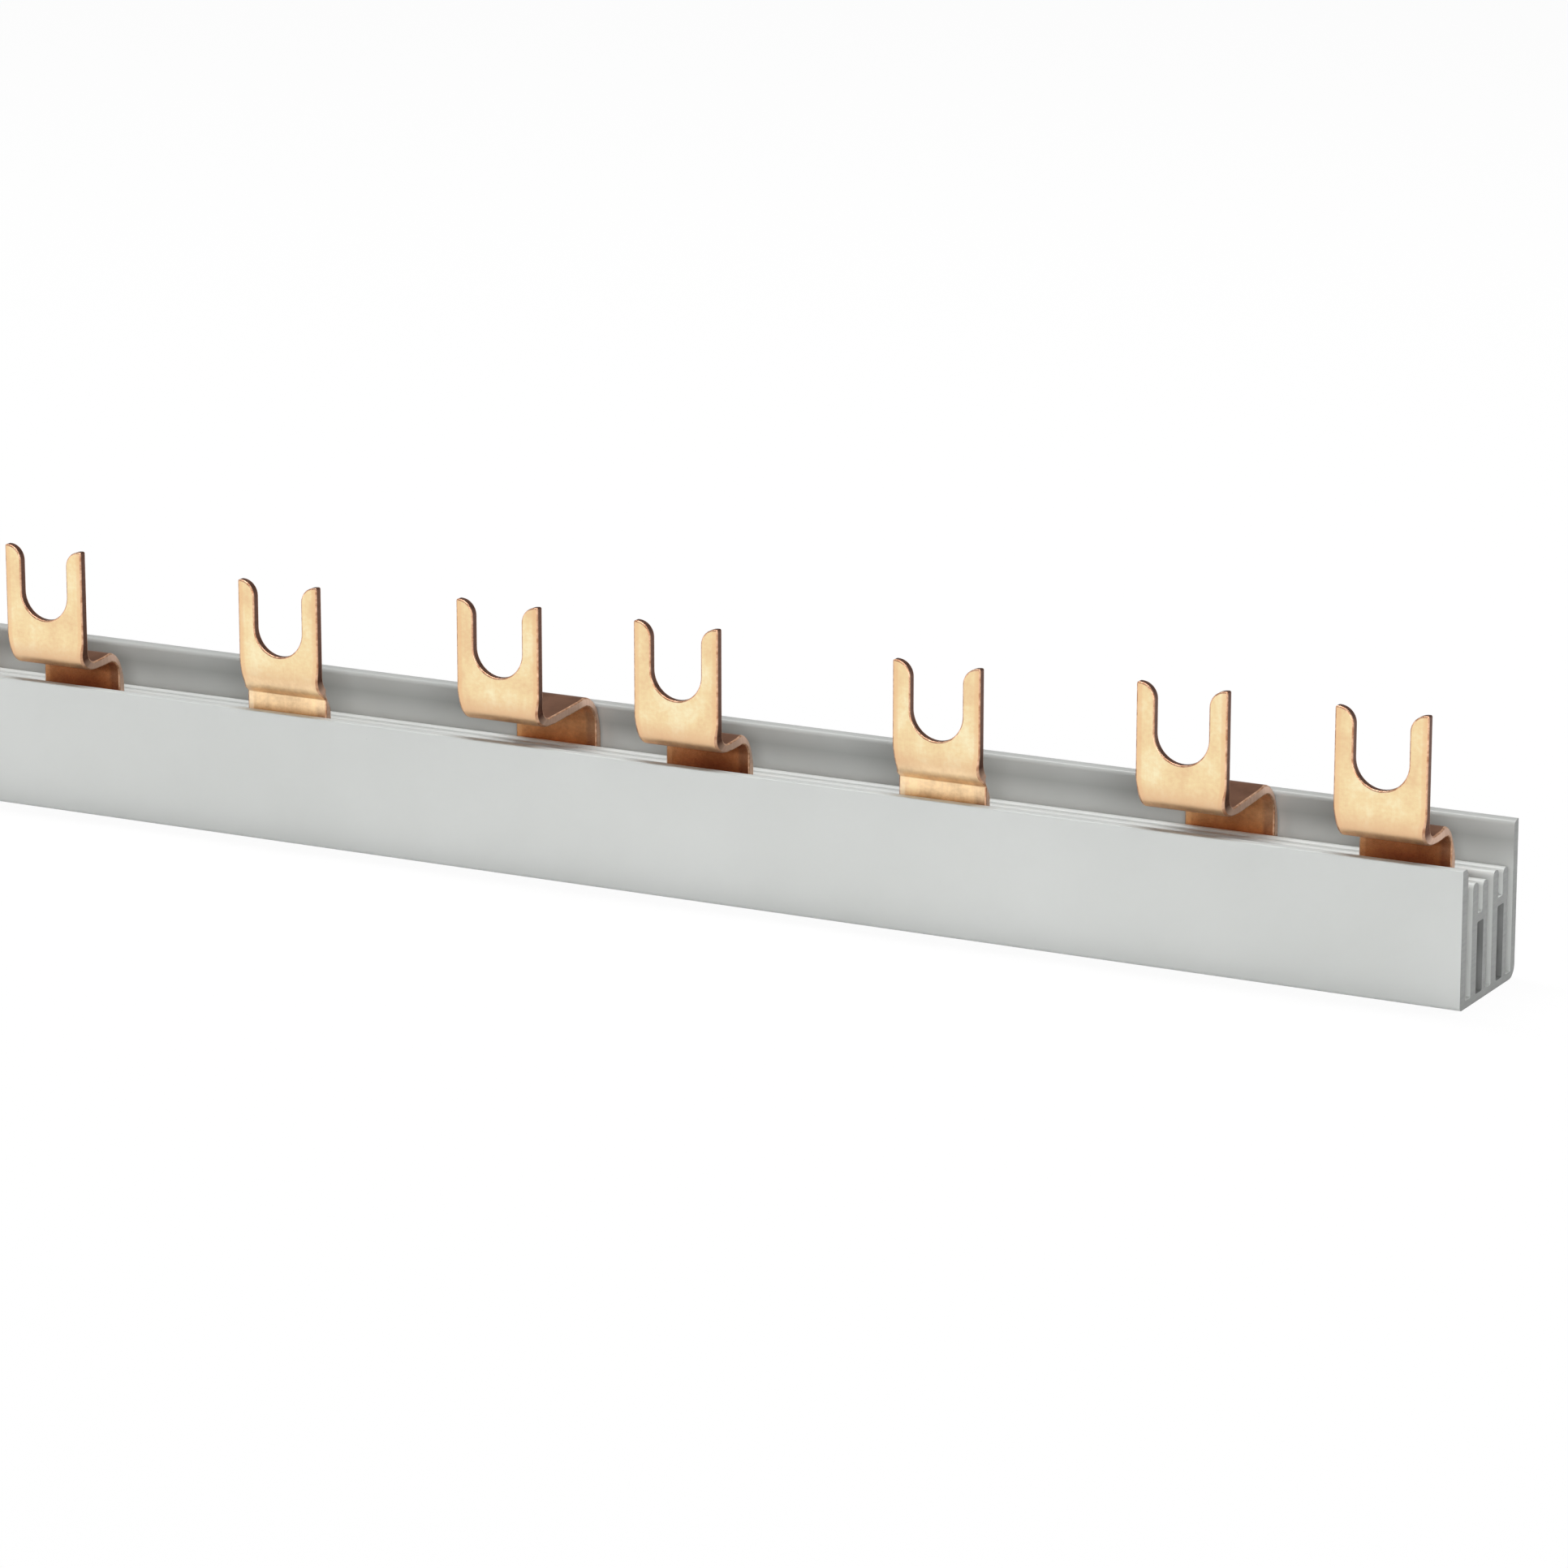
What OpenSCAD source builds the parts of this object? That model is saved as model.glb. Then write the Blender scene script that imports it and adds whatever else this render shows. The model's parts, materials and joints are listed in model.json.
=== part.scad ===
// Three-phase comb busbar with fork terminals.
// Three stamped and bent copper combs stand in the slots of one extruded insulating profile.
// +X runs along the bar, +Y points to the tall back wall, +Z is up, and the bar rests on Z = 0.

/* [Bar] */
// Length that the bar is cut to
bar_l = 243; // [81:1:405]
// Length along the bar after which the three phases repeat
phase_period = 81; // [64:1:120]

/* [Insulating profile] */
// Thickness of the front wall
front_wall_t = 1.4; // [1.2:0.05:2]
// Thickness of the back wall
back_wall_t = 1.1; // [0.8:0.05:2]
// Thickness of the floor
floor_t = 0.8; // [0.6:0.05:1.5]
// Height of the front wall
front_wall_h = 14.7; // [14.2:0.1:15.6]
// Height of the back wall
back_wall_h = 16.9; // [15:0.1:20]
// Radius of the corner between the front face and the underside
front_heel_r = 0.5; // [0.2:0.05:1.6]
// Radius of the corner between the back and the underside
back_heel_r = 1.4; // [0.2:0.05:1.6]
// Depth of the bevel inside the top of the front wall
front_bevel = 0.45; // [0.1:0.05:0.8]
// Fall of the top of the back wall towards the slots
back_bevel = 0.3; // [0.1:0.05:0.6]
// Thickness of each limb of the H-shaped ribs
rib_limb_t = 1.4; // [1:0.05:1.8]
// Width of the channel between the two limbs of a rib
rib_gap = 1.25; // [0.8:0.05:2]
// How much wider than that channel the closed hollow under it is
hollow_widening = 0.4; // [0.1:0.05:0.6]
// Height of the front limb of each rib
rib_h = 12.7; // [11.5:0.1:13.2]
// How much lower the rear limb of each rib is
rib_step = 0.3; // [0:0.05:0.6]
// Height of the underside of the web that joins the limbs of the front rib
web_z = 8.4; // [5:0.1:10]
// How much higher the web of the rear rib is
web_step = 0.3; // [0:0.05:0.8]
// Thickness of the web
web_t = 0.9; // [0.6:0.05:1.5]
// Radius along both top edges of each limb
limb_top_r = 0.5; // [0.1:0.05:0.5]

/* [Copper combs] */
// Thickness of the copper strip
copper_t = 1; // [0.8:0.05:1.2]
// Play between the copper and each wall of its slot
slot_play = 0.2; // [0.1:0.05:0.4]
// Gap between the lower edge of a strip and the floor
strip_lift = 0.2; // [0:0.05:0.5]
// Height of the strip that joins the forks inside the slot
strip_h = 9.4; // [7:0.1:10.5]
// How far each strip stops short of the ends of the profile
strip_recess = 3; // [1:0.1:6]
// Length of strip beside the last tab of the middle comb
strip_margin = 1.1; // [1:0.1:5]
// Radius in the corners where a tab leaves the strip
tab_root_r = 1; // [0.3:0.1:1]

/* [Forks] */
// Width of a fork
fork_w = 10.2; // [9:0.1:12]
// Width of the U-shaped slot that goes round a terminal screw
fork_slot_w = 6.1; // [5:0.1:6.6]
// Depth of the U-shaped slot below the tips
fork_slot_depth = 8.3; // [6:0.1:9]
// Radius of the inner corner at each tip
tip_inner_r = 1.8; // [0.5:0.05:1.9]
// Radius of the outer corner at each tip
tip_outer_r = 0.2; // [0.1:0.05:0.4]
// Height of the tips of the middle and rear forks
tip_z = 30.2; // [28:0.1:34]
// How much lower the tips of the front forks are
front_tip_drop = 0.8; // [0:0.1:1.5]
// Distance from a middle fork to the rear fork on its left
middle_to_rear_fork = 22; // [14:0.1:30]
// Distance from a rear fork to the front fork on its left
rear_to_front_fork = 28; // [14:0.1:32]

/* [Bends] */
// Height at which the middle forks start to bend back
middle_bend_z = 18.7; // [18.5:0.1:20]
// Height at which the rear forks start to bend back
rear_bend_z = 19; // [18.5:0.1:20]
// Mean radius of the bend under the plate of a middle or rear fork
plate_bend_r = 1.9; // [1:0.1:2.2]
// Mean radius of the bend above the slot of a middle fork
middle_bend_r = 2.1; // [1.2:0.1:2.5]
// Mean radius of the bend above the slot of a rear fork
rear_bend_r = 3; // [1.5:0.1:3.6]
// Rise of the shelf of a middle or rear fork towards the back, in degrees
shelf_rise = 4; // [0:1:8]
// Height at which the front forks start to bend back
front_bend_z = 19.3; // [18.8:0.1:20.3]
// Mean radius of the wide bend of a front fork
front_wide_r = 2.6; // [1:0.1:3]
// Mean radius of the tight bend of a front fork
front_tight_r = 0.75; // [0.65:0.05:1]
// Angle by which a front fork leans in its double bend
front_lean = 50; // [40:1:56]

/* [Hidden] */
$fn = 64;
// How far cuts run past a face, and how far the straight stretches run into the bends
cut_past = 1;
lap = 0.02;
phases = 3;
quarter_turn = 90;
half_turn = 180;

slot_w = copper_t + 2 * slot_play;
rib_w = 2 * rib_limb_t + rib_gap;
slot_pitch = slot_w + rib_w;
bar_d = front_wall_t + phases * slot_w + (phases - 1) * rib_w + back_wall_t;
right_end = bar_l / 2;
front_face = -bar_d / 2;
back_face = bar_d / 2;
plate_y = front_face + copper_t / 2;

strip_l = bar_l - 2 * strip_recess;
strip_z = floor_t + strip_lift;
strip_top = strip_z + strip_h;

// As many forks on each comb as the bar has room for
group_l = middle_to_rear_fork + rear_to_front_fork + fork_w;
fork_room = strip_l - strip_margin - tab_root_r;
forks_per_comb = 1 + floor((fork_room - group_l) / phase_period);

middle_fork_x = right_end - strip_recess - strip_margin - fork_w / 2;
rear_fork_x = middle_fork_x - middle_to_rear_fork;
front_fork_x = rear_fork_x - rear_to_front_fork;

// Y of the middle of a slot, counted from the front
function slot_y(i) = front_face + front_wall_t + slot_w / 2 + i * slot_pitch;
// Y of the front of a rib, counted from the front
function rib_y(i) = slot_y(i) + slot_w / 2;
// Straight length between two bends that together move the strip back by shift
function shelf_l(shift, r_plate, r_slot, lean) =
    (shift - (r_plate + r_slot) * (1 - cos(lean))) / sin(lean);
// Drop from the start of the bend under the plate to the end of the bend above the slot
function bend_drop(shift, r_plate, r_slot, lean) =
    (r_plate + r_slot) * sin(lean) + shelf_l(shift, r_plate, r_slot, lean) * cos(lean);

// Stands a drawing of the cross-section, Y across and Z up, along X
module along_x(length) {
    rotate([quarter_turn, 0, quarter_turn]) translate([0, 0, -length / 2]) {
        linear_extrude(length) children();
    }
}

// Stands a drawing of the front view, X across and Z up, as a plate centred on Y = 0
module along_y(depth) {
    rotate([quarter_turn, 0, 0]) translate([0, 0, -depth / 2]) linear_extrude(depth) children();
}

// What rounding with radius r takes off a corner at the origin that points to +X and +Y
module corner_waste(r) {
    translate([-r, -r]) difference() {
        square(r + cut_past);
        circle(r);
    }
}

// The fill of radius r in an inside corner at the origin that opens to +X and +Y
module corner_fill(r) {
    difference() {
        square(r);
        translate([r, r]) circle(r);
    }
}

// One limb of a rib, with both top edges rounded
module rib_limb(height) {
    difference() {
        square([rib_limb_t, height]);
        translate([rib_limb_t, height]) corner_waste(limb_top_r);
        translate([0, height]) mirror([1, 0]) corner_waste(limb_top_r);
    }
}

// An H-shaped rib: two limbs and a web, with a closed hollow under the web
module rib_section(i) {
    hollow_top = web_z + i * web_step;
    difference() {
        union() {
            rib_limb(rib_h);
            translate([rib_limb_t + rib_gap, 0]) rib_limb(rib_h - rib_step);
            translate([0, hollow_top]) square([rib_w, web_t]);
        }
        translate([rib_limb_t, floor_t]) square([rib_gap + hollow_widening, hollow_top - floor_t]);
    }
}

module front_wall_section() {
    polygon([
        [0, 0],
        [front_wall_t, 0],
        [front_wall_t, front_wall_h - front_bevel],
        [front_wall_t - front_bevel, front_wall_h],
        [0, front_wall_h]
    ]);
}

module back_wall_section() {
    polygon([
        [0, 0],
        [back_wall_t, 0],
        [back_wall_t, back_wall_h],
        [0, back_wall_h - back_bevel]
    ]);
}

// The section that the die gives the whole profile
module profile_section() {
    difference() {
        union() {
            translate([front_face, 0]) square([bar_d, floor_t]);
            translate([front_face, 0]) front_wall_section();
            translate([back_face - back_wall_t, 0]) back_wall_section();
            for (i = [0 : phases - 2]) translate([rib_y(i), 0]) rib_section(i);
        }
        translate([front_face, 0]) rotate(half_turn) corner_waste(front_heel_r);
        translate([back_face, 0]) mirror([0, 1]) corner_waste(back_heel_r);
    }
}

// A sector of strip bent to mean radius r, from one angle to another
module bent_strip(r, from, to) {
    reach = 2 * (r + copper_t);
    intersection() {
        difference() {
            circle(r + copper_t / 2);
            circle(r - copper_t / 2);
        }
        polygon([
            [0, 0],
            reach * [cos(from), sin(from)],
            reach * [cos((from + to) / 2), sin((from + to) / 2)],
            reach * [cos(to), sin(to)]
        ]);
    }
}

// Side view of a tab: up out of its slot, forward over two bends, and up to the tip
module tab_section(y, tip, bend_z, r_plate, r_slot, lean) {
    shift = y - plate_y;
    length = shelf_l(shift, r_plate, r_slot, lean);
    low_z = bend_z - bend_drop(shift, r_plate, r_slot, lean);
    translate([plate_y - copper_t / 2, bend_z - lap]) square([copper_t, tip - bend_z + lap]);
    translate([plate_y + r_plate, bend_z]) {
        bent_strip(r_plate, half_turn, half_turn + lean);
        rotate(lean) translate([-r_plate - copper_t / 2, -length - lap]) {
            square([copper_t, length + 2 * lap]);
        }
    }
    translate([y - r_slot, low_z]) bent_strip(r_slot, 0, lean);
    translate([y - copper_t / 2, strip_z]) square([copper_t, low_z - strip_z + lap]);
}

// Front view of what is punched out between and around the two tines
module tine_waste(tip) {
    seat_z = tip - fork_slot_depth + fork_slot_w / 2;
    inner_r = min(tip_inner_r, (fork_w - fork_slot_w) / 2 - tip_outer_r);
    translate([0, seat_z]) circle(d = fork_slot_w);
    translate([-fork_slot_w / 2, seat_z]) square([fork_slot_w, tip + cut_past - seat_z]);
    for (side = [0, 1]) mirror([side, 0]) {
        translate([-fork_slot_w / 2, tip]) corner_waste(inner_r);
        translate([fork_w / 2, tip]) corner_waste(tip_outer_r);
    }
}

// One bent tab with its fork, centred on X = 0
module fork_tab(y, tip, bend_z, r_plate, r_slot, lean) {
    difference() {
        along_x(fork_w) tab_section(y, tip, bend_z, r_plate, r_slot, lean);
        translate([0, plate_y, 0]) along_y(copper_t + 2 * cut_past) tine_waste(tip);
    }
}

// The strip in the slot, with a fill on both sides of each tab
module comb_strip(y, first_x) {
    translate([0, y, 0]) along_y(copper_t) {
        translate([-strip_l / 2, strip_z]) square([strip_l, strip_h]);
        for (i = [0 : forks_per_comb - 1], side = [0, 1]) {
            translate([first_x - i * phase_period, strip_top]) mirror([side, 0]) {
                translate([fork_w / 2, 0]) corner_fill(tab_root_r);
            }
        }
    }
}

module comb(slot, first_x, tip, bend_z, r_plate, r_slot, lean) {
    comb_strip(slot_y(slot), first_x);
    for (i = [0 : forks_per_comb - 1]) translate([first_x - i * phase_period, 0, 0]) {
        fork_tab(slot_y(slot), tip, bend_z, r_plate, r_slot, lean);
    }
}

module insulating_profile() {
    color("lightgray") along_x(bar_l) profile_section();
}

module front_comb() {
    color("peru") comb(
        0, front_fork_x, tip_z - front_tip_drop, front_bend_z, front_wide_r, front_tight_r, front_lean
    );
}

module middle_comb() {
    color("peru") comb(
        1, middle_fork_x, tip_z, middle_bend_z, plate_bend_r, middle_bend_r, quarter_turn + shelf_rise
    );
}

module rear_comb() {
    color("peru") comb(
        2, rear_fork_x, tip_z, rear_bend_z, plate_bend_r, rear_bend_r, quarter_turn + shelf_rise
    );
}

insulating_profile();
front_comb();
middle_comb();
rear_comb();
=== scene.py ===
import json
import math

import bmesh
import bpy
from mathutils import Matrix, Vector, geometry


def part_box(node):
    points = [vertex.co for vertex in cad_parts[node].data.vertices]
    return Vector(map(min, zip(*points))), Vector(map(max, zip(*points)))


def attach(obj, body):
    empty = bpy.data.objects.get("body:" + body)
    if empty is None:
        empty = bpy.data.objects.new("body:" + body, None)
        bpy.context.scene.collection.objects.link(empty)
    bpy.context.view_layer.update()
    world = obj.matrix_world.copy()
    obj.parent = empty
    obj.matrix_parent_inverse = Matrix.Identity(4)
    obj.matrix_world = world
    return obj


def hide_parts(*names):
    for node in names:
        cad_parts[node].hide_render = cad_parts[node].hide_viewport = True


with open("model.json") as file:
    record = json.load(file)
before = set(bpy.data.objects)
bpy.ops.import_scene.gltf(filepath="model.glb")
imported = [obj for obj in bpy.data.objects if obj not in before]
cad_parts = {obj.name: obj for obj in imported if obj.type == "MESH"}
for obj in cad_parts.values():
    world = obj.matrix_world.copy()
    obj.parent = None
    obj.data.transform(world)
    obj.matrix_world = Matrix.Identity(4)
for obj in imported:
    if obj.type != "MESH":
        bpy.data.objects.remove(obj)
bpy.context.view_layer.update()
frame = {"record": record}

MM = 0.001
RECORD = frame["record"]
MOUNTS = {mount["name"]: mount for mount in RECORD["mounts"]}

# Sizes that the solids have too, in metres
FRONT_WALL_T = 1.4 * MM
BACK_WALL_T = 1.1 * MM
FLOOR_T = 0.8 * MM
FRONT_WALL_H = 14.7 * MM
FRONT_HEEL_R = 0.5 * MM
BACK_HEEL_R = 1.4 * MM
FRONT_BEVEL = 0.45 * MM
BACK_BEVEL = 0.3 * MM
RIB_LIMB_T = 1.4 * MM
RIB_GAP = 1.25 * MM
HOLLOW_WIDENING = 0.4 * MM
RIB_H = 12.7 * MM
RIB_STEP = 0.3 * MM
WEB_Z = 8.4 * MM
WEB_STEP = 0.3 * MM
WEB_T = 0.9 * MM
SLOT_W = 1.4 * MM
RIB_W = 2 * RIB_LIMB_T + RIB_GAP
STRIP_H = 9.4 * MM
TAB_ROOT_R = 1.0 * MM
FORK_W = 10.2 * MM
FORK_SLOT_DEPTH = 8.3 * MM
TIP_INNER_R = 1.8 * MM
TIP_OUTER_R = 0.2 * MM

# Sizes of the finish, which only the scene has
EDGE_R = 0.16 * MM
PLASTIC_EDGE_R = 0.15 * MM
INNER_CORNER_R = 0.2 * MM
BACK_LIP_R = 0.55 * MM
BEND_BLEND = 1.3 * MM
NARROWING = 0.32  # how much of the stretch outside a bend goes into the tab's width

# How fine the meshes are, and from which angles (degrees) their edges stay sharp
ARC_STEP = math.radians(6)
BEND_STEP = math.radians(4.5)
PROFILE_STATIONS = 24
PROFILE_SHARP = 40
COMB_SHARP = 35

# How faces and edges are told apart: by angles and by shares of the normal
RIM_ANGLE = math.radians(60)
END_NORMAL = 0.9
INNER_NORMAL = -0.2
FLAT_NORMAL = 0.97
CUT_NORMAL = 0.2

# Material slots, in the order in which they are handed to the pieces
SKIN, CUT_END, HOLLOW, BACK_WALL_INSIDE = range(4)
COMB_FRONT, COMB_BACK, COMB_CUT, COMB_RIM = range(4)

# Scales of what is written to the uv layers of the combs
BLANK_UV_UNIT = 100 * MM
STRAIN_UNIT = 2 * MM

# What differs between the three combs: slot, bend heights, radii and the angle of the double bend
COMBS = {
    "front_comb": dict(slot=0, bend_z=19.3 * MM, plate_r=2.6 * MM, slot_r=0.75 * MM, lean=50),
    "middle_comb": dict(slot=1, bend_z=18.7 * MM, plate_r=1.9 * MM, slot_r=2.1 * MM, lean=94),
    "rear_comb": dict(slot=2, bend_z=19.0 * MM, plate_r=1.9 * MM, slot_r=3.0 * MM, lean=94),
}

# The studio: lamps as name, place, target, size and power in watts, and the fitted camera
FLOOR_HALF = 4.0
FLOOR_GLOW = 0.93
WORLD_LIGHT = 0.36
LAMPS = [
    ("key", (0.75, -1.3, 0.38), (0, 0, 0.01), (0.8, 0.3), 11.6),
    ("fill", (-1.4, -0.8, 0.30), (-0.05, 0, 0.01), (0.8, 0.4), 5.5),
    ("top", (0, 0.18, 1.0), (0, 0, 0.01), (1.2, 0.14), 11),
]
CAMERA_LENS = 144.49
CAMERA_YAW = math.radians(28.045)
CAMERA_DOWN = math.radians(14.492)
CAMERA_OFFSET = (0.2259, -0.56883, 0.18099)


def clamp01(value):
    return max(0.0, min(1.0, value))


def arc(centre, radius, start, end):
    """Points along an arc in degrees, both ends included."""
    steps = max(2, math.ceil(abs(math.radians(end - start)) / ARC_STEP))
    angles = [math.radians(start + (end - start) * i / steps) for i in range(steps + 1)]
    return [(centre[0] + radius * math.cos(a), centre[1] + radius * math.sin(a)) for a in angles]


def rounded(corners):
    """A closed outline whose corners (x, y, radius) are replaced by tangent arcs."""
    points = []
    for i, (x, y, radius) in enumerate(corners):
        here = Vector((x, y))
        before = Vector(corners[i - 1][:2]) - here
        after = Vector(corners[(i + 1) % len(corners)][:2]) - here
        if radius <= 0:
            points.append((x, y))
            continue
        half = before.angle(after) / 2
        inward = (before.normalized() + after.normalized()).normalized()
        centre = here + inward * radius / math.sin(half)
        reach = radius / math.tan(half)
        first = here + before.normalized() * reach - centre
        last = here + after.normalized() * reach - centre
        start = math.atan2(first.y, first.x)
        sweep = (math.atan2(last.y, last.x) - start + math.pi) % (2 * math.pi) - math.pi
        points += arc(centre, radius, math.degrees(start), math.degrees(start + sweep))
    return points


def new_piece(name, mesh_data, slot_name, *materials):
    """Makes an object of a finished bmesh, with its materials, riding on the part."""
    mesh = bpy.data.meshes.new(name)
    mesh_data.to_mesh(mesh)
    mesh_data.free()
    piece = bpy.data.objects.new(name, mesh)
    bpy.context.collection.objects.link(piece)
    for material in materials:
        mesh.materials.append(material)
    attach(piece, "root")
    return piece


def smooth_by_angle(bm, degrees):
    """Shades smooth, but keeps edges that are sharper than the angle or part two materials."""
    limit = math.radians(degrees)
    for face in bm.faces:
        face.smooth = True
    for edge in bm.edges:
        one_kind = len({face.material_index for face in edge.link_faces}) == 1
        edge.smooth = one_kind and edge.calc_face_angle(0) < limit


# ---------------------------------------------------------------- insulating profile

def rib_y(i):
    """Distance of the front of a rib from the front face."""
    return FRONT_WALL_T + SLOT_W + i * (SLOT_W + RIB_W)


def profile_outline(depth, back_h):
    """The outer outline of the section, y across and z up, counted from the front face."""
    edge, inner = PLASTIC_EDGE_R, INNER_CORNER_R
    corners = [
        (0, 0, FRONT_HEEL_R),
        (depth, 0, BACK_HEEL_R),
        (depth, back_h, edge),
        (depth - BACK_WALL_T, back_h - BACK_BEVEL, BACK_LIP_R),
        (depth - BACK_WALL_T, FLOOR_T, inner),
    ]
    corners += rib_corners(1) + rib_corners(0)
    corners += [
        (FRONT_WALL_T, FLOOR_T, inner),
        (FRONT_WALL_T, FRONT_WALL_H - FRONT_BEVEL, edge),
        (FRONT_WALL_T - FRONT_BEVEL, FRONT_WALL_H, edge),
        (0, FRONT_WALL_H, edge),
    ]
    return rounded(corners)


def rib_corners(i):
    """The corners of one H-shaped rib, from its rear foot over both limbs to its front foot."""
    inner = INNER_CORNER_R
    limb = 0.45 * RIB_LIMB_T
    y = rib_y(i)
    channel = y + RIB_LIMB_T
    rear = y + RIB_W
    rear_h = RIB_H - RIB_STEP
    web_top = WEB_Z + i * WEB_STEP + WEB_T
    return [
        (rear, FLOOR_T, inner),
        (rear, rear_h, limb),
        (rear - RIB_LIMB_T, rear_h, limb),
        (rear - RIB_LIMB_T, web_top, inner),
        (channel, web_top, inner),
        (channel, RIB_H, limb),
        (y, RIB_H, limb),
        (y, FLOOR_T, inner),
    ]


def hollow_outline(i):
    """The closed hollow under the web of a rib."""
    near = rib_y(i) + RIB_LIMB_T
    far = near + RIB_GAP + HOLLOW_WIDENING
    top = WEB_Z + i * WEB_STEP
    r = INNER_CORNER_R
    return rounded([(near, FLOOR_T, r), (near, top, r), (far, top, r), (far, FLOOR_T, r)])


def cap_triangles(loops):
    """Triangles, as indices into the joined loops, that fill the section but not its hollows."""
    points = [Vector(point) for loop in loops for point in loop]
    edges = []
    for loop in loops:
        first = len(edges)
        edges += [(first + j, first + (j + 1) % len(loop)) for j in range(len(loop))]
    made = geometry.delaunay_2d_cdt(points, edges, [], 0, 1e-9)
    origin = {i: before[0] for i, before in enumerate(made[3])}
    kept = []
    for face in made[2]:
        middle = sum((made[0][i] for i in face), Vector((0, 0))) / len(face)
        crossings = 0
        for a, b in edges:
            a, b = points[a], points[b]
            if (a.y > middle.y) != (b.y > middle.y):
                crossings += middle.x < a.x + (middle.y - a.y) * (b.x - a.x) / (b.y - a.y)
        if crossings % 2:
            kept.append([origin[i] for i in face])
    return kept


def outer_material(face, inside_y):
    """The slot of a face outside the hollows: a cut end, the back wall's inner face or the rest."""
    if abs(face.normal.x) > END_NORMAL:
        return CUT_END
    middle = face.calc_center_median()
    inside = face.normal.y < INNER_NORMAL and middle.y > inside_y and middle.z > FLOOR_T
    return BACK_WALL_INSIDE if inside else SKIN


def build_profile(materials):
    """Extrudes the section through even stations along the bar, and caps both ends."""
    low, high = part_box("insulating_profile")
    loops = [profile_outline(high[1] - low[1], high[2]), hollow_outline(0), hollow_outline(1)]
    bm = bmesh.new()
    rims = []
    for number, loop in enumerate(loops):
        rings = []
        for i in range(PROFILE_STATIONS + 1):
            x = low[0] + (high[0] - low[0]) * i / PROFILE_STATIONS
            rings.append([bm.verts.new((x, low[1] + y, z)) for y, z in loop])
        for a, b in zip(rings, rings[1:]):
            for j in range(len(loop)):
                k = (j + 1) % len(loop)
                wall = bm.faces.new((a[j], a[k], b[k], b[j]))
                wall.material_index = HOLLOW if number else SKIN
        rims.append((rings[0], rings[-1]))
    triangles = cap_triangles(loops)
    for end in (0, 1):
        corners = [vert for rim in rims for vert in rim[end]]
        for triangle in triangles:
            bm.faces.new([corners[i] for i in triangle])
    bmesh.ops.recalc_face_normals(bm, faces=bm.faces)
    inside_y = high[1] - BACK_WALL_T - BACK_LIP_R
    for face in bm.faces:
        if face.material_index == SKIN:
            face.material_index = outer_material(face, inside_y)
    smooth_by_angle(bm, PROFILE_SHARP)
    piece = new_piece("profile_extrusion", bm, "profile_plastic", *materials)
    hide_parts("insulating_profile")


# ---------------------------------------------------------------- copper combs

def nearest(forks, u):
    return min(forks, key=lambda x: abs(x - u))


def bend_path(comb, y, plate_y, strip_z):
    """Stretches (length, curvature) from the lower edge of the strip up to the plate."""
    lean = math.radians(comb["lean"])
    both = comb["plate_r"] + comb["slot_r"]
    shelf = (y - plate_y - both * (1 - math.cos(lean))) / math.sin(lean)
    drop = both * math.sin(lean) + shelf * math.cos(lean)
    return [
        (comb["bend_z"] - drop - strip_z, 0.0),
        (comb["slot_r"] * lean, 1 / comb["slot_r"]),
        (shelf, 0.0),
        (comb["plate_r"] * lean, -1 / comb["plate_r"]),
    ]


def walk(path, v):
    """Distance back, height and tilt of the strip's middle plane at length v along it."""
    y = z = tilt = 0.0
    for length, curvature in path + [(math.inf, 0.0)]:
        step = min(length, v)
        if curvature:
            turned = tilt + curvature * step
            y += (math.cos(turned) - math.cos(tilt)) / curvature
            z += (math.sin(turned) - math.sin(tilt)) / curvature
            tilt = turned
        else:
            y -= math.sin(tilt) * step
            z += math.cos(tilt) * step
        v -= step
        if v <= 0:
            break
    return y, z, tilt


def blank_outline(strip, forks, tip, slot_r):
    """The flat blank before bending: u along the bar, v up the tabs."""
    half = FORK_W / 2
    inner_r = min(TIP_INNER_R, half - slot_r - TIP_OUTER_R)
    seat = tip - FORK_SLOT_DEPTH + slot_r
    points = [(strip[0], 0), (strip[1], 0), (strip[1], STRIP_H)]
    for x in sorted(forks, reverse=True):
        root = STRIP_H + TAB_ROOT_R
        side = arc((half + TAB_ROOT_R, root), TAB_ROOT_R, 270, 180)
        side += arc((half - TIP_OUTER_R, tip - TIP_OUTER_R), TIP_OUTER_R, 0, 90)
        side += arc((slot_r + inner_r, tip - inner_r), inner_r, 90, 180)
        seat_arc = arc((0, seat), slot_r, 0, -180)
        points += [(x + u, v) for u, v in side + seat_arc]
        points += [(x - u, v) for u, v in reversed(side)]
    points.append((strip[0], STRIP_H))
    return points


def bend_weight(path, v):
    """Curvature at length v, spread a little into the straight stretches beside each bend."""
    total = start = 0.0
    for length, curvature in path:
        if curvature:
            low, high = start - BEND_BLEND, start + length + BEND_BLEND
            weight = clamp01(min(v - low, high - v) / (2 * BEND_BLEND))
            total += curvature * weight * weight * (3 - 2 * weight)
        start += length
    return total


def is_rim(edge):
    """True for an edge between a face of the flat blank and its cut edge."""
    level = abs(edge.verts[0].co.z - edge.verts[1].co.z) < EDGE_R
    return level and edge.calc_face_angle(0) > RIM_ANGLE


def comb_material(across):
    """The slot of a face of the flat blank, from the share of its normal across the sheet."""
    if abs(across) > FLAT_NORMAL:
        return COMB_FRONT if across > 0 else COMB_BACK
    return COMB_CUT if abs(across) < CUT_NORMAL else COMB_RIM


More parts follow.
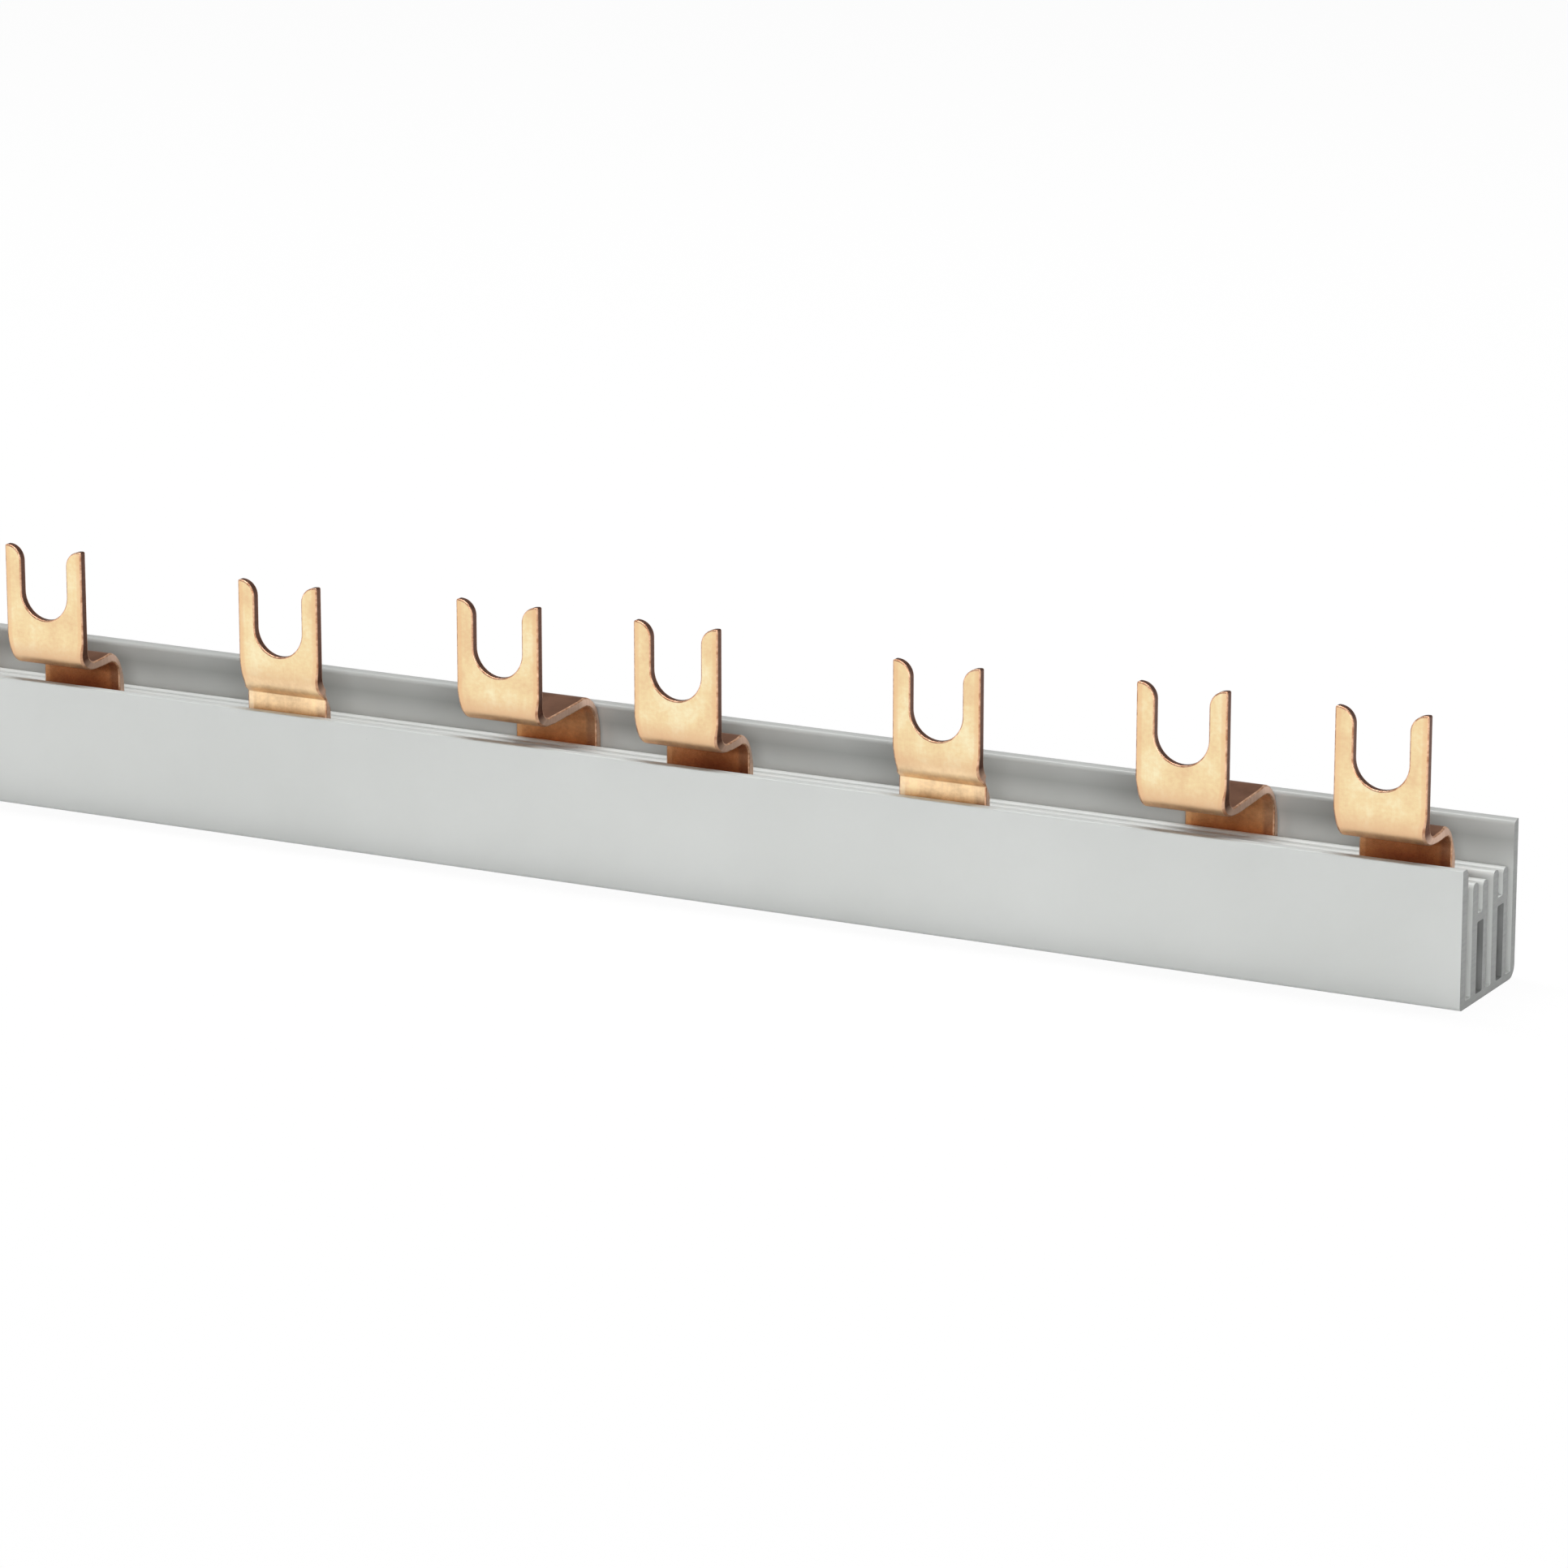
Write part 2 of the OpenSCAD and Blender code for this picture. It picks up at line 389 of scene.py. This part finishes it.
def flat_blank(outline, copper_t):
    """The solid blank before bending, with rolled rims and a material slot on each face."""
    bm = bmesh.new()
    front = bm.faces.new([bm.verts.new((u, v, copper_t / 2)) for u, v in outline])
    copy = bmesh.ops.extrude_face_region(bm, geom=[front], use_keep_orig=True)
    moved = [item for item in copy["geom"] if isinstance(item, bmesh.types.BMVert)]
    bmesh.ops.translate(bm, vec=(0, 0, -copper_t), verts=moved)
    bmesh.ops.recalc_face_normals(bm, faces=bm.faces)
    bmesh.ops.bevel(
        bm, geom=[edge for edge in bm.edges if is_rim(edge)],
        offset=EDGE_R, segments=3, profile=0.5, affect="EDGES", clamp_overlap=False,
    )
    for face in bm.faces:
        face.material_index = comb_material(face.normal.z)
    return bm


def cut_for_bends(bm, path, tip):
    """Cuts the blank across wherever it is going to bend, between the strip and the seats."""
    levels = []
    start = 0.0
    for length, curvature in path:
        if curvature:
            first, last = start - 2 * BEND_BLEND, start + length + 2 * BEND_BLEND
            steps = math.ceil((last - first) * abs(curvature) / BEND_STEP)
            levels += [first + (last - first) * i / steps for i in range(steps + 1)]
        start += length
    for v in sorted(levels):
        if STRIP_H + TAB_ROOT_R < v < tip - FORK_SLOT_DEPTH:
            bmesh.ops.bisect_plane(
                bm, geom=bm.verts[:] + bm.edges[:] + bm.faces[:],
                plane_co=(0, v, 0), plane_no=(0, 1, 0), dist=1e-7,
            )


def write_layers(bm, path, forks, plate_start):
    """Writes what the copper materials read: place on the blank, place across the tab and
    strain, and how far below the fork's plate a place is."""
    blank, tab, zone = (bm.loops.layers.uv.new(name) for name in ("blank", "tab", "zone"))
    for face in bm.faces:
        for loop in face.loops:
            u, v, _ = loop.vert.co
            across = (u - nearest(forks, u)) / FORK_W + 0.5
            strain = min(1.0, abs(bend_weight(path, v)) * STRAIN_UNIT)
            loop[blank].uv = (u / BLANK_UV_UNIT, v / BLANK_UV_UNIT)
            loop[tab].uv = (across, strain)
            loop[zone].uv = (clamp01((plate_start - v) / BEND_BLEND + 0.5), 0)


def bend_blank(bm, path, forks, y, z):
    """Bends the blank along its path from (y, z), with the tabs narrowed outside their bends."""
    for vert in bm.verts:
        u, v, n = vert.co
        if v > STRIP_H + TAB_ROOT_R:
            centre = nearest(forks, u)
            outside = max(0.0, -bend_weight(path, v) * n)
            u = centre + (u - centre) * (1 - NARROWING * outside)
        back, up, tilt = walk(path, v)
        vert.co = (u, y + back - n * math.cos(tilt), z + up - n * math.sin(tilt))


def build_comb(name, comb, materials):
    """Cuts, bends and places one comb: forks from the record's mounts, sizes from its solid."""
    low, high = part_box(name)
    profile_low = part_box("insulating_profile")[0]
    seats = [m for n, m in MOUNTS.items() if n.startswith(name.replace("comb", "fork"))]
    forks = [m["pos_m"][0] for m in seats]
    slot_r = seats[0]["dims"]["r_mm"] * MM
    copper_t = seats[0]["dims"]["length_mm"] * MM
    plate_y = low[1] + copper_t / 2
    y = profile_low[1] + FRONT_WALL_T + SLOT_W / 2 + comb["slot"] * (SLOT_W + RIB_W)
    path = bend_path(comb, y, plate_y, low[2])
    bent_length = sum(length for length, _ in path)
    plate_start = bent_length - path[-1][0] / 2
    tip = bent_length + high[2] - comb["bend_z"]

    bm = flat_blank(blank_outline((low[0], high[0]), forks, tip, slot_r), copper_t)
    cut_for_bends(bm, path, tip)
    write_layers(bm, path, forks, plate_start)
    bend_blank(bm, path, forks, y, low[2])
    bmesh.ops.recalc_face_normals(bm, faces=bm.faces)
    smooth_by_angle(bm, COMB_SHARP)
    piece = new_piece(name + "_copper", bm, "copper", *materials)
    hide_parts(name)


# ---------------------------------------------------------------- materials

def new_material(name, colour, metallic, roughness):
    """A material with its tree and its Principled shader. The plain colour is about the mean of
    the pattern that is linked over it later."""
    material = bpy.data.materials.new(name)
    material.use_nodes = True
    shader = material.node_tree.nodes["Principled BSDF"]
    shader.inputs["Base Color"].default_value = (*colour, 1)
    shader.inputs["Metallic"].default_value = metallic
    shader.inputs["Roughness"].default_value = roughness
    return material, material.node_tree, shader


def node(tree, kind, **values):
    """A node with its properties and input values set by name."""
    made = tree.nodes.new(kind)
    for key, value in values.items():
        if key in made.inputs:
            made.inputs[key].default_value = value
        else:
            setattr(made, key, value)
    return made


def feed(tree, value, socket):
    """Links an output to a socket, or sets the socket to a plain value."""
    if isinstance(value, bpy.types.NodeSocket):
        tree.links.new(value, socket)
    else:
        socket.default_value = value


def ramp(tree, source, stops):
    """A colour ramp over the given (position, colour) stops."""
    made = tree.nodes.new("ShaderNodeValToRGB")
    elements = made.color_ramp.elements
    while len(elements) < len(stops):
        elements.new(0.5)
    for element, (position, colour) in zip(elements, stops):
        element.position = position
        element.color = (*colour, 1)
    tree.links.new(source, made.inputs["Fac"])
    return made.outputs["Color"]


def mixed(tree, factor, a, b, blend="MIX"):
    made = node(tree, "ShaderNodeMix", data_type="RGBA", blend_type=blend)
    for value, socket in ((factor, "Factor"), (a, "A"), (b, "B")):
        feed(tree, value, made.inputs[socket])
    return made.outputs["Result"]


def multiplied(tree, a, b):
    return mixed(tree, 1.0, a, b, "MULTIPLY")


def mapped(tree, value, low, high, top=1.0):
    """Maps a value from 0..top to low..high."""
    made = node(tree, "ShaderNodeMapRange")
    made.inputs["From Max"].default_value = top
    made.inputs["To Min"].default_value = low
    made.inputs["To Max"].default_value = high
    tree.links.new(value, made.inputs["Value"])
    return made.outputs["Result"]


def math_node(tree, operation, a, b=None):
    made = node(tree, "ShaderNodeMath", operation=operation)
    feed(tree, a, made.inputs[0])
    if b is not None:
        feed(tree, b, made.inputs[1])
    return made.outputs[0]


def axis_of(tree, vector, axis):
    split = node(tree, "ShaderNodeSeparateXYZ")
    tree.links.new(vector, split.inputs[0])
    return split.outputs[axis]


def object_place(tree):
    return tree.nodes.new("ShaderNodeTexCoord").outputs["Object"]


def stretched(tree, vector, scale, turn=0.0):
    """The vector turned about X and scaled, to draw a pattern out into lines."""
    mapping = node(tree, "ShaderNodeMapping")
    mapping.inputs["Scale"].default_value = scale
    mapping.inputs["Rotation"].default_value = (turn, 0, 0)
    tree.links.new(vector, mapping.inputs["Vector"])
    return mapping.outputs["Vector"]


def noise(tree, vector, scale, detail):
    made = node(tree, "ShaderNodeTexNoise", Scale=scale, Detail=detail)
    tree.links.new(vector, made.inputs["Vector"])
    return made.outputs["Fac"]


def add_bump(tree, shader, height, strength, distance):
    bump = node(tree, "ShaderNodeBump", Strength=strength, Distance=distance)
    tree.links.new(height, bump.inputs["Height"])
    tree.links.new(bump.outputs["Normal"], shader.inputs["Normal"])


def plastic_material(name, painted_shade_stops):
    """Extruded PVC: faint lines along the bar, broad random changes of tone and a few dust specks.
    The painted shade stops, as (height, shade) pairs, darken it as painted shade from the foot to
    the top of the back wall."""
    material, tree, shader = new_material(name, (0.55, 0.565, 0.55), 0.0, 0.40)
    place = object_place(tree)
    clouds = noise(tree, place, 45.0, 4.0)
    shade = ramp(tree, clouds, [(0.3, (0.533, 0.548, 0.534)), (0.7, (0.570, 0.585, 0.572))])

    dots = node(tree, "ShaderNodeTexVoronoi", Scale=420.0)
    tree.links.new(place, dots.inputs["Vector"])
    speck = ramp(tree, dots.outputs["Distance"], [(0.035, (1, 1, 1)), (0.06, (0, 0, 0))])
    few = ramp(tree, noise(tree, place, 260.0, 1.0), [(0.60, (0, 0, 0)), (0.66, (1, 1, 1))])
    dusty = mixed(tree, multiplied(tree, speck, few), shade, (0.30, 0.31, 0.30, 1))

    profile_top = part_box("insulating_profile")[1][2]
    height = mapped(tree, axis_of(tree, place, "Z"), 0.0, 1.0, profile_top)
    painted_height_shade = ramp(tree, height, [(z, (s, s, s)) for z, s in painted_shade_stops])
    tree.links.new(multiplied(tree, dusty, painted_height_shade), shader.inputs["Base Color"])

    lines = noise(tree, stretched(tree, place, (0.05, 1, 1)), 1600.0, 3.0)
    add_bump(tree, shader, lines, 0.10, 0.00003)
    return material


def sawn_material():
    """The cut ends: duller, with fine saw marks, and painted a darker grey than the skin as shade.
    """
    material, tree, shader = new_material("profile_plastic_sawn", (0.29, 0.297, 0.29), 0.0, 0.62)
    across = stretched(tree, object_place(tree), (1, 0.15, 1), math.radians(12))
    marks = noise(tree, across, 2600.0, 3.0)
    colour = ramp(tree, marks, [(0.3, (0.265, 0.272, 0.265)), (0.7, (0.312, 0.32, 0.312))])
    tree.links.new(colour, shader.inputs["Base Color"])
    add_bump(tree, shader, marks, 0.25, 0.00004)
    return material


def hollow_material():
    """The walls of the closed hollows, which hardly any light reaches, painted dark grey as shade.
    """
    material, tree, shader = new_material("profile_plastic_hollow", (0.20, 0.205, 0.20), 0.0, 0.6)
    clouds = noise(tree, object_place(tree), 300.0, 3.0)
    colour = ramp(tree, clouds, [(0.3, (0.18, 0.185, 0.18)), (0.7, (0.23, 0.235, 0.23))])
    tree.links.new(colour, shader.inputs["Base Color"])
    return material


def blank_noise(tree, stretch, scale, detail):
    """Noise laid out on the flat blank, so that it follows the strip round its bends."""
    uv = node(tree, "ShaderNodeUVMap", uv_map="blank")
    return noise(tree, stretched(tree, uv.outputs["UV"], (*stretch, 1)), scale, detail)


def tab_value(tree, layer, axis):
    """One number that write_layers put in a layer: tab X is the place across the tab and tab Y
    the strain; zone X is 0 on a fork's plate and 1 below it."""
    uv = node(tree, "ShaderNodeUVMap", uv_map=layer)
    return axis_of(tree, uv.outputs["UV"], axis)


def plate_colour(tree, grain):
    """Mottled gold to rose, redder along the sides of a tab and duller round its bends."""
    gold = ramp(tree, grain, [
        (0.36, (0.84, 0.59, 0.335)), (0.50, (0.90, 0.70, 0.40)), (0.64, (0.95, 0.83, 0.54)),
    ])
    offset = math_node(tree, "SUBTRACT", tab_value(tree, "tab", "X"), 0.5)
    side = ramp(tree, math_node(tree, "ABSOLUTE", offset), [
        (0.425, (0, 0, 0)), (0.445, (0.5, 0.5, 0.5)), (0.50, (0.8, 0.8, 0.8)),
    ])
    sided = mixed(tree, side, gold, (0.84, 0.53, 0.29, 1))
    strain = math_node(tree, "MULTIPLY", tab_value(tree, "tab", "Y"), 0.8)
    return mixed(tree, strain, sided, (0.77, 0.485, 0.285, 1))


def copper_material(name, shelf_colour, painted_shade_colours, edge_tint):
    """Rolled copper: clean on the forks' plates, stained and duller below them, and painted brown
    as shade where it is sheltered. The painted shade colours are for the deepest places and for
    shallower ones."""
    material, tree, shader = new_material(name, (0.88, 0.66, 0.41), 1.0, 0.36)
    shader.inputs["Specular Tint"].default_value = (*edge_tint, 1)
    mottle = blank_noise(tree, (0.8, 1.0), 240.0, 5.0)
    drag = blank_noise(tree, (1.0, 0.08), 500.0, 3.0)
    patches = mixed(tree, 0.30, blank_noise(tree, (1.0, 0.7), 30.0, 3.0), mottle)
    grain = mixed(tree, 0.08, patches, drag)
    stain = ramp(tree, grain, [(0.38, (0.80, 0.76, 0.74)), (0.62, (1.15, 1.15, 1.15))])
    shelf = multiplied(tree, (*shelf_colour, 1), stain)
    open_colour = mixed(tree, tab_value(tree, "zone", "X"), plate_colour(tree, grain), shelf)

    # Painted shade: where ambient occlusion finds the copper sheltered, its colour turns to the
    # painted shade colours.
    occlusion = node(tree, "ShaderNodeAmbientOcclusion", Distance=0.007, samples=8).outputs["AO"]
    painted_shade_amount = ramp(tree, occlusion, [(0.35, (1, 1, 1)), (0.85, (0, 0, 0))])
    depth = ramp(tree, occlusion, list(zip((0.25, 0.55), painted_shade_colours)))
    # Painted light and shade across the tab: lighter and bluer near one side, darker near the
    # other.
    flank_light_and_shade = ramp(tree, tab_value(tree, "tab", "X"), [
        (0.06, (1.25, 1.5, 2.0)), (0.08, (1, 1, 1)), (0.86, (1, 1, 1)), (0.90, (0.6, 0.5, 0.55)),
    ])
    painted_shade_colour = multiplied(tree, multiplied(tree, depth, flank_light_and_shade), stain)
    colour = mixed(tree, painted_shade_amount, open_colour, painted_shade_colour)
    tree.links.new(colour, shader.inputs["Base Color"])

    tarnished = mapped(tree, tab_value(tree, "zone", "X"), 1.0, 0.75)
    tree.links.new(tarnished, shader.inputs["Metallic"])
    tree.links.new(mapped(tree, grain, 0.28, 0.46), shader.inputs["Roughness"])
    add_bump(tree, shader, mixed(tree, 0.35, mottle, drag), 0.45, 0.00002)
    return material


def cut_copper_material():
    """The punched edges: painted dark as shade round the plates, a lighter copper below them, with
    fine marks.
    """
    material, tree, shader = new_material("copper_cut_edge", (0.17, 0.075, 0.045), 1.0, 0.48)
    marks = blank_noise(tree, (1.0, 1.0), 300.0, 4.0)
    dark = ramp(tree, marks, [(0.3, (0.12, 0.055, 0.037)), (0.7, (0.16, 0.077, 0.052))])
    light = ramp(tree, marks, [(0.3, (0.66, 0.44, 0.33)), (0.7, (0.76, 0.54, 0.42))])
    colour = mixed(tree, tab_value(tree, "zone", "X"), dark, light)
    tree.links.new(colour, shader.inputs["Base Color"])
    add_bump(tree, shader, marks, 0.15, 0.00002)
    return material


def rim_copper_material():
    """The rim that the punch rolls over, between a face and a cut edge, painted a darker brown than
    the faces as shade.
    """
    material, tree, shader = new_material("copper_rim", (0.55, 0.31, 0.19), 1.0, 0.5)
    marks = blank_noise(tree, (1.0, 1.0), 160.0, 3.0)
    colour = ramp(tree, marks, [(0.35, (0.44, 0.22, 0.125)), (0.65, (0.70, 0.45, 0.30))])
    tree.links.new(colour, shader.inputs["Base Color"])
    return material


# ---------------------------------------------------------------- studio

def seen_directly(tree):
    """1 for rays that show the background itself: camera, glossy and transmission rays."""
    path = tree.nodes.new("ShaderNodeLightPath")
    result = path.outputs["Is Camera Ray"]
    for name in ("Is Glossy Ray", "Is Transmission Ray"):
        result = math_node(tree, "MAXIMUM", result, path.outputs[name])
    return result


def mix_shaders(tree, factor, first, second, output_kind):
    """Mixes two shaders into the material's or the world's output."""
    mix = tree.nodes.new("ShaderNodeMixShader")
    out = tree.nodes.new(output_kind)
    tree.links.new(factor, mix.inputs["Fac"])
    tree.links.new(first.outputs[0], mix.inputs[1])
    tree.links.new(second.outputs[0], mix.inputs[2])
    tree.links.new(mix.outputs[0], out.inputs["Surface"])


def floor_material():
    """White paper sweep: it looks white, and keeps a faint shadow under the object."""
    material = bpy.data.materials.new("studio_floor")
    material.use_nodes = True
    tree = material.node_tree
    tree.nodes.clear()
    paper = node(tree, "ShaderNodeBsdfDiffuse", Color=(0.92, 0.92, 0.92, 1))
    glow = node(tree, "ShaderNodeEmission", Strength=1.0)
    amount = math_node(tree, "MULTIPLY", seen_directly(tree), FLOOR_GLOW)
    mix_shaders(tree, amount, paper, glow, "ShaderNodeOutputMaterial")
    return material


def build_floor():
    bm = bmesh.new()
    bmesh.ops.create_grid(bm, x_segments=1, y_segments=1, size=FLOOR_HALF)
    mesh = bpy.data.meshes.new("studio_floor")
    bm.to_mesh(mesh)
    bm.free()
    floor = bpy.data.objects.new("studio_floor", mesh)
    bpy.context.collection.objects.link(floor)
    mesh.materials.append(floor_material())


def build_world():
    """White at the horizon like the floor, and darker overhead like a studio ceiling."""
    world = bpy.data.worlds.new("studio")
    bpy.context.scene.world = world
    world.use_nodes = True
    tree = world.node_tree
    tree.nodes.clear()
    place = tree.nodes.new("ShaderNodeTexCoord")
    height = axis_of(tree, place.outputs["Generated"], "Z")
    dome = ramp(tree, height, [(0.04, (1, 1, 1)), (0.30, (0.30, 0.30, 0.30))])
    seen = node(tree, "ShaderNodeBackground", Strength=1.0)
    lit = node(tree, "ShaderNodeBackground", Strength=WORLD_LIGHT)
    for background in (seen, lit):
        tree.links.new(dome, background.inputs["Color"])
    mix_shaders(tree, seen_directly(tree), lit, seen, "ShaderNodeOutputWorld")


def add_lamp(name, place, target, size, power):
    lamp = bpy.data.lights.new(name, "AREA")
    lamp.shape = "RECTANGLE"
    lamp.size, lamp.size_y = size
    lamp.energy = power
    item = bpy.data.objects.new(name, lamp)
    item.location = place
    item.rotation_euler = (Vector(target) - Vector(place)).to_track_quat("-Z", "Y").to_euler()
    bpy.context.collection.objects.link(item)


def build_camera():
    """The camera that was fitted to the photograph, placed from the profile's near front corner."""
    camera = bpy.data.cameras.new("camera")
    camera.sensor_width = 36
    camera.lens = CAMERA_LENS
    camera.clip_start = 0.01
    item = bpy.data.objects.new("camera", camera)
    low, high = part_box("insulating_profile")
    right, forward, up = CAMERA_OFFSET
    item.location = (high[0] + right, low[1] + forward, up)
    item.rotation_euler = (math.pi / 2 - CAMERA_DOWN, 0, CAMERA_YAW)
    bpy.context.collection.objects.link(item)
    bpy.context.scene.camera = item


# ---------------------------------------------------------------- the scene

PLAIN_SHADES = [(0, 1), (1, 1)]
# Painted shade on the back wall's inner face: darker in steps by height, most at about the front
# wall's height and again at the very top.
INSIDE_PAINTED_SHADE = [
    (0.71, 1.0), (0.79, 0.86), (0.87, 0.67), (0.92, 0.77), (0.965, 0.83), (1.0, 0.70),
]
build_profile((
    plastic_material("profile_plastic", PLAIN_SHADES),
    sawn_material(),
    hollow_material(),
    plastic_material("profile_plastic_inside_painted_shade", INSIDE_PAINTED_SHADE),
))

front_copper = copper_material(
    "copper_front",
    shelf_colour=(0.92, 0.69, 0.44),
    painted_shade_colours=((0.38, 0.10, 0.035), (1.0, 0.40, 0.10)),
    edge_tint=(1, 1, 1),
)
# A lit copy of copper_front for the front comb: its painted shade colours are lighter, as painted
# light on blades that stand in the open.
front_comb_copper = copper_material(
    "copper_front_comb",
    shelf_colour=(0.95, 0.72, 0.44),
    painted_shade_colours=((0.62, 0.32, 0.16), (0.94, 0.63, 0.34)),
    edge_tint=(1, 1, 1),
)
# The backs of the sheets and the tops of the shelves: dark brown as painted shade, with a dimmer
# edge tint on their reflections.
back_copper = copper_material(
    "copper_back",
    shelf_colour=(0.24, 0.125, 0.08),
    painted_shade_colours=((0.16, 0.09, 0.06), (0.24, 0.13, 0.085)),
    edge_tint=(0.45, 0.38, 0.35),
)
edge_coppers = (cut_copper_material(), rim_copper_material())
for comb_name, comb_shape in COMBS.items():
    facing = front_comb_copper if comb_name == "front_comb" else front_copper
    build_comb(comb_name, comb_shape, (facing, back_copper, *edge_coppers))

build_floor()
build_world()
for lamp_name, lamp_place, lamp_target, lamp_size, lamp_power in LAMPS:
    add_lamp(lamp_name, lamp_place, lamp_target, lamp_size, lamp_power)
build_camera()
bpy.context.scene.view_settings.view_transform = "Standard"
